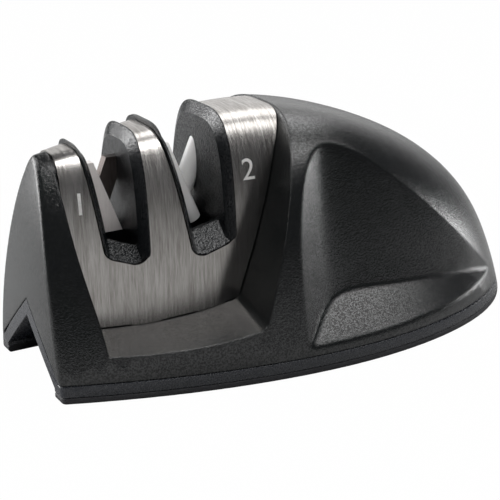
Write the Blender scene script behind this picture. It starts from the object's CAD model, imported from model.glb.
import math

import bmesh
import bpy
import numpy as np
from mathutils import Matrix, Vector
from mathutils.bvhtree import BVHTree


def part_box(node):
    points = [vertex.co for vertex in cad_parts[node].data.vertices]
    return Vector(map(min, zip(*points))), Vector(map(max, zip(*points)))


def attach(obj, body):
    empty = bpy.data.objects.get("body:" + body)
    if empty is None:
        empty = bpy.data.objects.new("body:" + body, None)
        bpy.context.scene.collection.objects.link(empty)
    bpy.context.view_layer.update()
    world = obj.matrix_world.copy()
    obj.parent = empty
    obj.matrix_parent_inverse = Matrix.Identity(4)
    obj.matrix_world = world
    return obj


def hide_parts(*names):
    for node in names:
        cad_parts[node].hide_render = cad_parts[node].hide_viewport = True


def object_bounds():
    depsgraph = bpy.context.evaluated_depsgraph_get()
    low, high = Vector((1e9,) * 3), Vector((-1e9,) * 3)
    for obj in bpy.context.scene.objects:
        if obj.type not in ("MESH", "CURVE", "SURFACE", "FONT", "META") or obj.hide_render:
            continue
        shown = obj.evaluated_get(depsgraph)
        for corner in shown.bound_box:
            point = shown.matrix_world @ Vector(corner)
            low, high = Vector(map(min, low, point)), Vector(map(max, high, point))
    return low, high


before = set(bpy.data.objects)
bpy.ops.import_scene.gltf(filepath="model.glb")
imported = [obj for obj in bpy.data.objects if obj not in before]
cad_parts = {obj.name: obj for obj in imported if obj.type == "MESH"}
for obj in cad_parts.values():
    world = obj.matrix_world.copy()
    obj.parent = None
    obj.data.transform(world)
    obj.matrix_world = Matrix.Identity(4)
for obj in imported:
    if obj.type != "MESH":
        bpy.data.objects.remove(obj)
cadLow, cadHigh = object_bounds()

mm = 0.001
white = (1.0, 1.0, 1.0, 1.0)
scene = bpy.context.scene
print("frame loaded:", len(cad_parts), "nodes")


def facing(back, upright):
    # the turn of a camera or lamp that looks against the unit vector back: its X is level when
    # upright, else world X less its share along back, and its Y is back cross X
    side = Vector((0, 0, 1)).cross(back) if upright else Vector((1, 0, 0)) - back * back.x
    side.normalize()
    return Matrix((side, back.cross(side), back)).transposed().to_quaternion()


cameraSet = {
    "azimuth": -30.24,
    "elevation": 20.0,
    "distance": 344.67 * mm,
    "target": (-7.92 * mm, 0.0, 20.73 * mm),
    "lens": 96.73,
    "sensor": 36.0,
    "clip": (0.01, 50.0),
}


def makeCamera(s):
    # the camera sits on a sphere round the target:
    # target + distance * (sin a cos e, -cos a cos e, sin e), for azimuth a and elevation e
    a, e = math.radians(s["azimuth"]), math.radians(s["elevation"])
    back = Vector((math.sin(a) * math.cos(e), -math.cos(a) * math.cos(e), math.sin(e)))
    data = bpy.data.cameras.new("viewCamera")
    data.lens = s["lens"]
    data.sensor_width = s["sensor"]
    data.clip_start, data.clip_end = s["clip"]
    cam = bpy.data.objects.new("viewCamera", data)
    cam.location = Vector(s["target"]) + back * s["distance"]
    cam.rotation_mode = "QUATERNION"
    cam.rotation_quaternion = facing(back, True)
    scene.collection.objects.link(cam)
    scene.camera = cam


def nodeIn(tree, kind, **values):
    # one shader node: a value named as a socket sets that socket, any other sets the node itself
    node = tree.nodes.new(kind)
    for key, value in values.items():
        if key in node.inputs:
            node.inputs[key].default_value = value
        else:
            setattr(node, key, value)
    return node


def wire(tree, *pairs):
    # one link from the first to the second of each pair
    for source, target in pairs:
        tree.links.new(source, target)


worldSet = {
    "dim": (0.055, 0.057, 0.062, 1.0),
    "backdrop": white,
    "towards": (0.50, 0.86, 0.10),  # from the object to the backdrop
    "turn": (0.84, 0.95),  # where dim turns into backdrop, on the scale below
}


def makeWorld(s):
    # white where the camera looks; what lights the object is a pale backdrop behind it in a dim
    # room, mixed by (1 + ray . towards) / 2
    world = bpy.data.worlds.new("studio")
    scene.world = world
    world.use_nodes = True
    tree = world.node_tree
    tree.nodes.clear()
    path = nodeIn(tree, "ShaderNodeLightPath")
    coord = nodeIn(tree, "ShaderNodeTexCoord")
    along = nodeIn(tree, "ShaderNodeVectorMath", operation="DOT_PRODUCT")
    along.inputs[1].default_value = s["towards"]
    share = nodeIn(tree, "ShaderNodeMapRange")
    share.inputs["From Min"].default_value = -1.0
    ramp = nodeIn(tree, "ShaderNodeValToRGB")
    ramp.color_ramp.interpolation = "EASE"
    for element, place, key in zip(ramp.color_ramp.elements, s["turn"], ("dim", "backdrop")):
        element.position = place
        element.color = s[key]
    cast = nodeIn(tree, "ShaderNodeBackground", Strength=1.0)
    seen = nodeIn(tree, "ShaderNodeBackground", Color=white, Strength=1.0)
    mix = nodeIn(tree, "ShaderNodeMixShader")
    out = nodeIn(tree, "ShaderNodeOutputWorld")
    wire(
        tree,
        (coord.outputs["Generated"], along.inputs[0]),
        (along.outputs["Value"], share.inputs["Value"]),
        (share.outputs["Result"], ramp.inputs["Fac"]),
        (ramp.outputs["Color"], cast.inputs["Color"]),
        (path.outputs["Is Camera Ray"], mix.inputs["Fac"]),
        (cast.outputs[0], mix.inputs[1]),
        (seen.outputs[0], mix.inputs[2]),
        (mix.outputs[0], out.inputs[0]),
    )


floorSet = {
    "half": 6.0,  # from the middle to a side
    "near": (0.50, 0.50, 0.50, 1.0),  # round the object
    "far": (0.16, 0.16, 0.16, 1.0),  # in front of it
    "fade": (-0.34, -0.10),  # from far to near, along Y
    "lift": 0.99,  # share of white that the camera sees
}


def makeFloor(s):
    # one square under the sole; its paper takes the light and the shadow, and the camera sees it
    # lifted towards white
    h = s["half"]
    mesh = bpy.data.meshes.new("floor")
    mesh.from_pydata([(-h, -h, 0), (h, -h, 0), (h, h, 0), (-h, h, 0)], [], [(0, 1, 2, 3)])
    floor = bpy.data.objects.new("floor", mesh)
    scene.collection.objects.link(floor)
    mat = bpy.data.materials.new("floorPaper")
    mat.use_nodes = True
    tree = mat.node_tree
    tree.nodes.clear()
    path = nodeIn(tree, "ShaderNodeLightPath")
    coord = nodeIn(tree, "ShaderNodeTexCoord")
    split = nodeIn(tree, "ShaderNodeSeparateXYZ")
    fade = nodeIn(tree, "ShaderNodeMapRange", interpolation_type="SMOOTHSTEP")
    fade.inputs["From Min"].default_value, fade.inputs["From Max"].default_value = s["fade"]
    shade = nodeIn(tree, "ShaderNodeMix", data_type="RGBA")
    shade.inputs["A"].default_value = s["far"]
    shade.inputs["B"].default_value = s["near"]
    lift = nodeIn(tree, "ShaderNodeMath", operation="MULTIPLY")
    lift.inputs[1].default_value = s["lift"]
    paper = nodeIn(tree, "ShaderNodeBsdfDiffuse")
    glow = nodeIn(tree, "ShaderNodeEmission", Color=white, Strength=1.0)
    mix = nodeIn(tree, "ShaderNodeMixShader")
    out = nodeIn(tree, "ShaderNodeOutputMaterial")
    wire(
        tree,
        (coord.outputs["Object"], split.inputs[0]),
        (split.outputs["Y"], fade.inputs["Value"]),
        (fade.outputs["Result"], shade.inputs["Factor"]),
        (shade.outputs["Result"], paper.inputs["Color"]),
        (path.outputs["Is Camera Ray"], lift.inputs[0]),
        (lift.outputs[0], mix.inputs["Fac"]),
        (paper.outputs[0], mix.inputs[1]),
        (glow.outputs[0], mix.inputs[2]),
        (mix.outputs[0], out.inputs[0]),
    )
    mesh.materials.append(mat)


lampSet = {
    # power in watts; the first side of the size is level when upright, else it follows X
    "overhead": {"place": (0.30, 0.17, 0.64), "aim": (0.0, 0.0, 0.05),
                 "size": (0.55, 0.42), "power": 2.3, "upright": False},
    "overFront": {"place": (0.20, -0.32, 0.57), "aim": (0.0, 0.0, 0.05),
                  "size": (0.76, 0.22), "power": 2.0, "upright": False},
    "lowFront": {"place": (-0.04, -0.38, 0.56), "aim": (-0.02, 0.0, 0.03),
                 "size": (0.16, 0.11), "power": 0.55, "upright": False},
    "rightCard": {"place": (0.50, -0.04, 0.03), "aim": (0.0, -0.02, 0.03),
                  "size": (0.15, 0.05), "power": 0.30, "upright": True},
    "noseBox": {"place": (-0.55, 0.42, 0.20), "aim": (-0.05, 0.0, 0.03),
                "size": (0.50, 0.40), "power": 5.8, "upright": True},
    "leftTop": {"place": (-0.42, 0.05, 0.55), "aim": (0.0, 0.0, 0.03),
                "size": (0.30, 0.30), "power": 1.1, "upright": False},
}


def makeLamps(lamps):
    # soft rectangular boxes, each turned to its aim
    for name, s in lamps.items():
        data = bpy.data.lights.new(name, "AREA")
        data.shape = "RECTANGLE"
        data.size, data.size_y = s["size"]
        data.energy = s["power"]
        lamp = bpy.data.objects.new(name, data)
        lamp.location = s["place"]
        lamp.rotation_mode = "QUATERNION"
        back = (Vector(s["place"]) - Vector(s["aim"])).normalized()
        lamp.rotation_quaternion = facing(back, s["upright"])
        scene.collection.objects.link(lamp)


makeCamera(cameraSet)
makeWorld(worldSet)
makeFloor(floorSet)
makeLamps(lampSet)
scene.view_settings.view_transform = "Standard"
print("studio ready")


noiseMiddle = (0.3, 0.7)  # most of a noise's values lie between these


def newFinish(name):
    # a material with a Principled shader and Object coordinates
    mat = bpy.data.materials.new(name)
    mat.use_nodes = True
    tree = mat.node_tree
    coord = nodeIn(tree, "ShaderNodeTexCoord")
    return mat, tree, tree.nodes["Principled BSDF"], coord.outputs["Object"]


def feed(tree, shader, sockets):
    # each socket of the shader takes the output given for it
    wire(tree, *((output, shader.inputs[key]) for key, output in sockets.items()))


def stretched(tree, coords, scales):
    # coordinates multiplied axis by axis, so a pattern runs along one direction
    node = nodeIn(tree, "ShaderNodeVectorMath", operation="MULTIPLY")
    node.inputs[1].default_value = scales
    wire(tree, (coords, node.inputs[0]))
    return node.outputs[0]


def noiseOf(tree, coords, noise, finer=1.0):
    # a noise given by scale per metre, detail and roughness; finer multiplies the scale
    scale, detail, rough = noise
    node = nodeIn(tree, "ShaderNodeTexNoise", Scale=scale * finer, Detail=detail, Roughness=rough)
    wire(tree, (coords, node.inputs["Vector"]))
    return node.outputs["Fac"]


def ranged(tree, value, limits, span=(0.0, 1.0)):
    # a value carried from the span to the limits
    node = nodeIn(tree, "ShaderNodeMapRange")
    for key, number in zip(("From Min", "From Max", "To Min", "To Max"), (*span, *limits)):
        node.inputs[key].default_value = number
    wire(tree, (value, node.inputs["Value"]))
    return node.outputs["Result"]


def toned(tree, value, p, span):
    # the finish's dark tone below the span, its light tone above it
    node = nodeIn(tree, "ShaderNodeValToRGB")
    for element, place, key in zip(node.color_ramp.elements, span, ("dark", "light")):
        element.position = place
        element.color = p[key]
    wire(tree, (value, node.inputs["Fac"]))
    return node.outputs["Color"]


def blended(tree, first, second, share):
    # first * (1 - share) + second * share
    node = nodeIn(tree, "ShaderNodeMix", data_type="FLOAT")
    node.inputs["Factor"].default_value = share
    wire(tree, (first, node.inputs["A"]), (second, node.inputs["B"]))
    return node.outputs["Result"]


def bumped(tree, height, strength, depth):
    node = nodeIn(tree, "ShaderNodeBump", Strength=strength, Distance=depth)
    wire(tree, (height, node.inputs["Height"]))
    return node


grainSet = {
    # what all moulded plastics share: noises are scale, detail and roughness, and the scales of
    # pebble and speck are multiplied by the finish's own grain
    "pebble": (1.0, 2.0, 0.6),
    "speck": (2.1, 1.0, 0.5),
    "haze": (38.0, 4.0, 0.6),
    "speckInHeight": 0.4,
    "pebbleInGloss": 0.75,
    "hazeSpan": (0.3, 0.72),
    "shineSpan": (0.40, 0.60),
    "edgeSamples": 4,
    "ior": 1.52,
}
plasticSet = {
    # two tones; roughness from least to most; grain per metre and its depth; width of the softened
    # edges; shine from the grain's valleys to its tops
    "housingPlastic": {"dark": (0.006, 0.007, 0.007, 1), "light": (0.009, 0.010, 0.010, 1),
                       "rough": (0.17, 0.24), "grain": 2300.0, "depth": 0.09 * mm,
                       "edge": 0.7 * mm, "shine": (0.40, 0.85)},
    "basePlastic": {"dark": (0.012, 0.014, 0.018, 1), "light": (0.018, 0.020, 0.026, 1),
                    "rough": (0.23, 0.30), "grain": 2200.0, "depth": 0.06 * mm,
                    "edge": 0.3 * mm, "shine": (0.48, 0.66)},
    "rimPlastic": {"dark": (0.004, 0.005, 0.006, 1), "light": (0.007, 0.008, 0.009, 1),
                   "rough": (0.17, 0.24), "grain": 2400.0, "depth": 0.13 * mm,
                   "edge": 0.3 * mm, "shine": (0.20, 0.70)},
    "soleRubber": {"dark": (0.015, 0.015, 0.017, 1), "light": (0.023, 0.023, 0.026, 1),
                   "rough": (0.59, 0.66), "grain": 3200.0, "depth": 0.06 * mm,
                   "edge": 0.3 * mm, "shine": (0.30, 0.50)},
}


def mouldedPlastic(name, p, g):
    # satin black plastic: pebbled grain, a slow change of gloss and a little handling haze;
    # near a sharp edge the normal turns as if the edge were rounded
    mat, tree, shader, coords = newFinish(name)
    pebble = noiseOf(tree, coords, g["pebble"], p["grain"])
    speck = noiseOf(tree, coords, g["speck"], p["grain"])
    haze = noiseOf(tree, coords, g["haze"])
    worn = blended(tree, haze, pebble, g["pebbleInGloss"])
    edge = nodeIn(tree, "ShaderNodeBevel", Radius=p["edge"], samples=g["edgeSamples"])
    grain = bumped(tree, blended(tree, pebble, speck, g["speckInHeight"]), 1.0, p["depth"])
    wire(tree, (edge.outputs["Normal"], grain.inputs["Normal"]))
    feed(tree, shader, {
        "Base Color": toned(tree, haze, p, g["hazeSpan"]),
        "Roughness": ranged(tree, worn, p["rough"], noiseMiddle),
        "Specular IOR Level": ranged(tree, pebble, p["shine"], g["shineSpan"]),
        "Normal": grain.outputs["Normal"],
    })
    shader.inputs["IOR"].default_value = g["ior"]
    return mat


steelSet = {
    # noises are scale, detail and roughness; a stretch is how quickly one runs along X, Y and Z
    "dark": (0.28, 0.262, 0.245, 1),
    "light": (0.55, 0.532, 0.51, 1),
    "toneSpan": (0.40, 0.60),
    "fine": (9000.0, 3.0, 0.65),
    "fineStretch": (1.0, 0.03, 0.03),
    "broad": (1500.0, 3.0, 0.6),
    "broadStretch": (1.0, 0.05, 0.05),
    "broadInLines": 0.42,
    "cloud": (55.0, 3.0, 0.5),
    "cloudInTone": 0.12,
    "rough": (0.17, 0.20),
    "bump": 0.12,
    "depth": 0.01 * mm,
}


def brushedSteel(name, p):
    # fine lines round the bend: noise that is quick along X and slow along Y and Z;
    # the gloss is drawn out along X, square to the lines
    mat, tree, shader, coords = newFinish(name)
    fine = noiseOf(tree, stretched(tree, coords, p["fineStretch"]), p["fine"])
    broad = noiseOf(tree, stretched(tree, coords, p["broadStretch"]), p["broad"])
    lines = blended(tree, fine, broad, p["broadInLines"])
    patchy = blended(tree, lines, noiseOf(tree, coords, p["cloud"]), p["cloudInTone"])
    tangent = nodeIn(tree, "ShaderNodeTangent", direction_type="RADIAL", axis="X")
    feed(tree, shader, {
        "Base Color": toned(tree, patchy, p, p["toneSpan"]),
        "Roughness": ranged(tree, lines, p["rough"], noiseMiddle),
        "Normal": bumped(tree, lines, p["bump"], p["depth"]).outputs["Normal"],
        "Tangent": tangent.outputs[0],
    })
    shader.inputs["Metallic"].default_value = 1.0
    shader.inputs["Anisotropic"].default_value = 1.0
    return mat


groundSet = {
    # what all ground metals share: noises are scale, detail and roughness, and the scale of streak
    # is multiplied by the finish's own grain
    "streak": (1.0, 3.0, 0.6),
    "stretch": (1.0, 1.0, 0.12),
    "cloud": (160.0, 2.0, 0.5),
    "cloudInTone": 0.4,
    "bump": 0.25,
    "depth": 0.02 * mm,
}
metalSet = {
    "bladePale": {"dark": (0.76, 0.71, 0.69, 1), "light": (0.90, 0.85, 0.83, 1),
                  "rough": (0.39, 0.55), "grain": 3000.0, "metallic": 0.2},
    "bladeDark": {"dark": (0.07, 0.058, 0.055, 1), "light": (0.13, 0.112, 0.105, 1),
                  "rough": (0.30, 0.46), "grain": 3000.0, "metallic": 1.0},
    "screwSteel": {"dark": (0.30, 0.30, 0.31, 1), "light": (0.50, 0.50, 0.51, 1),
                   "rough": (0.26, 0.42), "grain": 2400.0, "metallic": 1.0},
}


def groundMetal(name, p, g):
    # ground faces: short upright streaks and a faint cloud
    mat, tree, shader, coords = newFinish(name)
    streak = noiseOf(tree, stretched(tree, coords, g["stretch"]), g["streak"], p["grain"])
    patchy = blended(tree, streak, noiseOf(tree, coords, g["cloud"]), g["cloudInTone"])
    feed(tree, shader, {
        "Base Color": toned(tree, patchy, p, noiseMiddle),
        "Roughness": ranged(tree, streak, p["rough"], noiseMiddle),
        "Normal": bumped(tree, streak, g["bump"], g["depth"]).outputs["Normal"],
    })
    shader.inputs["Metallic"].default_value = p["metallic"]
    return mat


ceramicSet = {
    "dark": (0.76, 0.75, 0.74, 1),
    "light": (0.86, 0.855, 0.845, 1),
    "toneSpan": (0.25, 0.75),
    "pores": (5200.0, 3.0, 0.6),
    "cloud": (120.0, 3.0, 0.5),
    "cloudInTone": 0.5,
    "rough": (0.36, 0.52),
    "bump": 0.2,
    "depth": 0.02 * mm,
    "softness": 0.12,
    "reach": (0.6 * mm, 0.5 * mm, 0.4 * mm),  # how far red, green and blue light spread inside
}


def whiteCeramic(name, p):
    # fine matte ceramic: a nearly even white with tiny pores
    mat, tree, shader, coords = newFinish(name)
    pores = noiseOf(tree, coords, p["pores"])
    patchy = blended(tree, pores, noiseOf(tree, coords, p["cloud"]), p["cloudInTone"])
    feed(tree, shader, {
        "Base Color": toned(tree, patchy, p, p["toneSpan"]),
        "Roughness": ranged(tree, pores, p["rough"], noiseMiddle),
        "Normal": bumped(tree, pores, p["bump"], p["depth"]).outputs["Normal"],
    })
    shader.inputs["Subsurface Weight"].default_value = p["softness"]
    shader.inputs["Subsurface Radius"].default_value = p["reach"]
    return mat


inkSet = {
    "dark": (0.60, 0.59, 0.57, 1),
    "light": (0.82, 0.81, 0.79, 1),
    "toneSpan": (0.3, 0.6),
    "cover": (3800.0, 3.0, 0.6),
    "rough": (0.42, 0.60),
}


def printInk(name, p):
    # pale screen print with slightly uneven cover
    mat, tree, shader, coords = newFinish(name)
    cover = noiseOf(tree, coords, p["cover"])
    feed(tree, shader, {
        "Base Color": toned(tree, cover, p, p["toneSpan"]),
        "Roughness": ranged(tree, cover, p["rough"]),
    })
    return mat


finishes = {name: mouldedPlastic(name, p, grainSet) for name, p in plasticSet.items()}
finishes.update({name: groundMetal(name, p, groundSet) for name, p in metalSet.items()})
finishes["coverSteel"] = brushedSteel("coverSteel", steelSet)
finishes["rodCeramic"] = whiteCeramic("rodCeramic", ceramicSet)
finishes["printInk"] = printInk("printInk", inkSet)
print("finishes ready:", len(finishes))


nodeSet = {
    # CAD node: (piece name, finish, faces that meet below this angle shade as one)
    "upper_housing": ("housing", "housingPlastic", 28.0),
    "base_plate": ("basePlate", "basePlastic", 28.0),
    "rubber_sole": ("sole", "soleRubber", 28.0),
    "cover_plate": ("coverPlate", "coverSteel", 28.0),
    "coarse_cartridge_front": ("coarseCartridgeFront", "rimPlastic", 18.0),
    "coarse_cartridge_rear": ("coarseCartridgeRear", "rimPlastic", 18.0),
    "fine_cartridge_front": ("fineCartridgeFront", "rimPlastic", 18.0),
    "fine_cartridge_rear": ("fineCartridgeRear", "rimPlastic", 18.0),
    "coarse_blade_front": ("coarseBladeFront", "bladePale", 2.0),
    "coarse_blade_rear": ("coarseBladeRear", "bladeDark", 2.0),
    "fine_rod_front": ("fineRodFront", "rodCeramic", 30.0),
    "fine_rod_rear": ("fineRodRear", "rodCeramic", 30.0),
    "cartridge_screws": ("cartridgeScrews", "screwSteel", 30.0),
    "base_screws": ("baseScrews", "screwSteel", 30.0),
}
mergeSet = {"doubles": 0.002 * mm, "thinnest": 0.0005 * mm}

# a seam is the height of a level outer edge, and 1 where its layer lies above it or -1 below
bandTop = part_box("upper_housing")[0][2]
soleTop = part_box("base_plate")[0][2]
seamsOf = {
    "upper_housing": [(bandTop, 1)],
    "base_plate": [(bandTop, -1), (soleTop, 1)],
    "rubber_sole": [(soleTop, -1)],
}
seamSet = {
    "depth": 0.30 * mm,
    "rise": 0.22 * mm,
    "match": 0.002 * mm,  # a point this near the height is on the edge
    "steepest": 0.8,  # a face whose normal has less Z than this is a wall
    "least": 0.1,  # walls whose normals sum to less than this face each other
    "exact": 1e-9,
}
bodyMiddle = (cadLow[0] + cadHigh[0]) / 2


def cutSeam(work, level, side, s):
    # one long outer edge is drawn in a little, so a dark line shows between two moulded layers:
    # a new row of points is cut a rise away from the edge, then the edge's own points move in by
    # depth * (x, y) of the outer walls' summed normals, made a unit vector
    bmesh.ops.bisect_plane(
        work, geom=work.verts[:] + work.edges[:] + work.faces[:], dist=s["exact"],
        plane_co=(0, 0, level + side * s["rise"]), plane_no=(0, 0, 1),
    )
    moves = {}
    for vert in work.verts:
        if abs(vert.co.z - level) > s["match"]:
            continue
        walls = [face.normal for face in vert.link_faces if abs(face.normal.z) < s["steepest"]]
        walls = [n for n in walls if n.x * (vert.co.x - bodyMiddle) + n.y * vert.co.y > 0]
        out = Vector((sum(n.x for n in walls), sum(n.y for n in walls), 0))
        if out.length > s["least"]:
            moves[vert] = out.normalized() * s["depth"]
    for vert, step in moves.items():
        vert.co -= step
    return len(moves)


def dressNode(node, name, finish, angle, seams):
    # a merged copy of the node, smooth up to the angle, in place of the node's loose triangles
    work = bmesh.new()
    work.from_mesh(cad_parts[node].data)
    bmesh.ops.remove_doubles(work, verts=work.verts, dist=mergeSet["doubles"])
    bmesh.ops.dissolve_degenerate(work, edges=work.edges, dist=mergeSet["thinnest"])
    work.normal_update()
    for level, side in seams:
        print(name, "seam points:", cutSeam(work, level, side, seamSet))
    limit = math.radians(angle)
    for edge in work.edges:
        edge.smooth = len(edge.link_faces) == 2 and edge.calc_face_angle(math.pi) < limit
    for face in work.faces:
        face.smooth = True
    mesh = bpy.data.meshes.new(name)
    work.to_mesh(mesh)
    work.free()
    mesh.materials.append(finishes[finish])
    piece = bpy.data.objects.new(name, mesh)
    scene.collection.objects.link(piece)
    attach(piece, "root")
    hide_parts(node)
    return piece


dressed = {}
for node, (name, finish, angle) in nodeSet.items():
    dressed[node] = dressNode(node, name, finish, angle, seamsOf.get(node, ()))
print("dressed nodes:", len(dressed))


numberSet = {
    # middle is along X and up Z
    "numberCoarse": {"sign": "1", "middle": (-57.7 * mm, 43.5 * mm), "height": 5.0 * mm},
    "numberFine": {"sign": "2", "middle": (-16.8 * mm, 47.4 * mm), "height": 5.0 * mm},
}
printSet = {
    "proud": 0.04 * mm,
    "sunk": 0.03 * mm,
    "cell": 0.45 * mm,  # longest side of a cell, small enough to follow the plate's bend
    "rounds": 4,
    "curveSteps": 6,
    "doubles": 0.001 * mm,
}


def flatSign(p, s):
    # the sign as points in the XZ plane and cells of three corners: a point is
    # (its place in the letter - the letter's middle) * height / the letter's height + middle
    curve = bpy.data.curves.new("sign", "FONT")
    curve.body = p["sign"]
    curve.resolution_u = s["curveSteps"]
    holder = bpy.data.objects.new("sign", curve)
    scene.collection.objects.link(holder)
    shown = holder.evaluated_get(bpy.context.evaluated_depsgraph_get())
    letter = bpy.data.meshes.new_from_object(shown)
    bpy.data.objects.remove(holder)
    points = np.empty(3 * len(letter.vertices), dtype=np.float32)
    letter.vertices.foreach_get("co", points)
    points = points.reshape(-1, 3)[:, :2].astype(float)
    low, high = points.min(axis=0), points.max(axis=0)
    points = (points - (low + high) / 2) * p["height"] / (high[1] - low[1]) + p["middle"]
    points = np.column_stack((points[:, 0], np.zeros(len(points)), points[:, 1]))
    letter.vertices.foreach_set("co", points.ravel())
    work = bmesh.new()
    work.from_mesh(letter)
    bpy.data.meshes.remove(letter)
    bmesh.ops.remove_doubles(work, verts=work.verts, dist=s["doubles"])
    bmesh.ops.triangulate(work, faces=work.faces[:])
    for _ in range(s["rounds"]):
        wide = [edge for edge in work.edges if edge.calc_length() > s["cell"]]
        bmesh.ops.subdivide_edges(work, edges=wide, cuts=1)
        bmesh.ops.triangulate(work, faces=work.faces[:])
    work.verts.index_update()
    points = np.array([vert.co for vert in work.verts])
    cells = np.array([[vert.index for vert in face.verts] for face in work.faces])
    work.free()
    return points, cells


def printNumber(name, p, plate, s):
    # a thin closed layer on the front of the plate: each flat point is carried along Y to the
    # plate; the outer skin is place + normal * proud, the inner skin is place - normal * sunk
    flat, cells = flatSign(p, s)
    front, inwards = 2 * cadLow[1], Vector((0, 1, 0))
    hits = [plate.ray_cast(Vector((x, front, z)), inwards)[:2] for x, _, z in flat]
    places, normals = (np.array(column) for column in zip(*hits))
    normals *= -np.sign(normals[:, 1:2])
    skins = np.concatenate((places + normals * s["proud"], places - normals * s["sunk"]))
    # walls stand on the sides of the cells that no other cell has
    count = len(flat)
    sides = cells[:, [0, 1, 1, 2, 2, 0]].reshape(-1, 2)
    rim = sides[~np.isin(sides @ (count, 1), sides @ (1, count))]
    walls = np.column_stack((rim[:, ::-1], rim + count))
    faces = [face for part in (cells, cells[:, ::-1] + count, walls) for face in part.tolist()]
    mesh = bpy.data.meshes.new(name)
    mesh.from_pydata(skins.tolist(), [], faces)
    mesh.materials.append(finishes["printInk"])
    piece = bpy.data.objects.new(name, mesh)
    scene.collection.objects.link(piece)
    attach(piece, "root")


plateMesh = dressed["cover_plate"].data
plateTree = BVHTree.FromPolygons(
    [vert.co for vert in plateMesh.vertices], [face.vertices for face in plateMesh.polygons],
)
for name, p in numberSet.items():
    printNumber(name, p, plateTree, printSet)
print("numbers printed:", len(numberSet))
